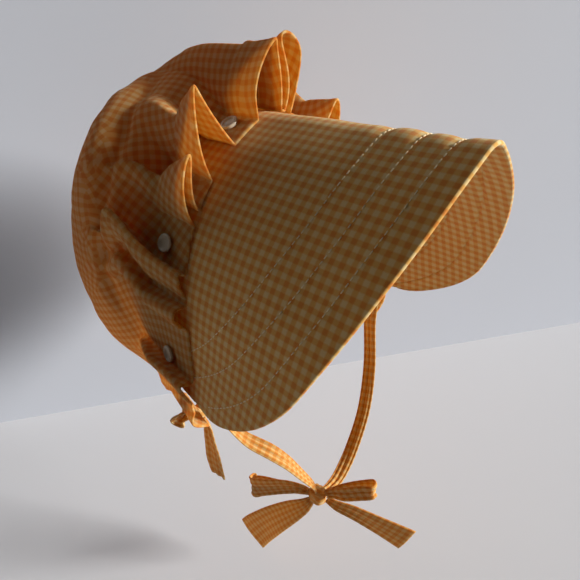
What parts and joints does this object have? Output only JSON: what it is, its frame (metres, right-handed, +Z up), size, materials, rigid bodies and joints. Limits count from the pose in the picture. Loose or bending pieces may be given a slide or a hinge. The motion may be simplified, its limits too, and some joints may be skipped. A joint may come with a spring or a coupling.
{
  "type": "prairie bonnet",
  "caption": "Button-back prairie bonnet in orange and white gingham, with a deep stiffened brim, a ruffled crown and tied ribbons.",
  "frame": {"origin": "the place under the brim's top fold where a head bears, above the middle of the head", "axes": "+Z up, the wearer looks along -Y, the wearer's right side is -X"},
  "size_m": [0.2207, 0.3, 0.4356],
  "materials": {
    "gingham": "matte woven cotton",
    "brim_cloth": "matte woven cotton, stiffened",
    "tie_cloth": "matte woven cotton",
    "pearl": "polished"
  },
  "bodies": {
    "root": {"brim": "brim_cloth", "crown": "gingham", "button_1": "pearl", "button_2": "pearl", "button_3": "pearl", "button_4": "pearl", "button_5": "pearl", "button_6": "pearl", "button_7": "pearl", "button_8": "pearl", "chin_tie_right": "tie_cloth", "chin_tie_left": "tie_cloth", "bow_loop_right": "tie_cloth", "bow_loop_left": "tie_cloth", "bow_tail_right": "tie_cloth", "bow_tail_left": "tie_cloth", "nape_tie_loop": "tie_cloth", "nape_tie_tail": "tie_cloth", "chin_knot": "tie_cloth", "nape_knot": "tie_cloth"}
  },
  "joints": []
}
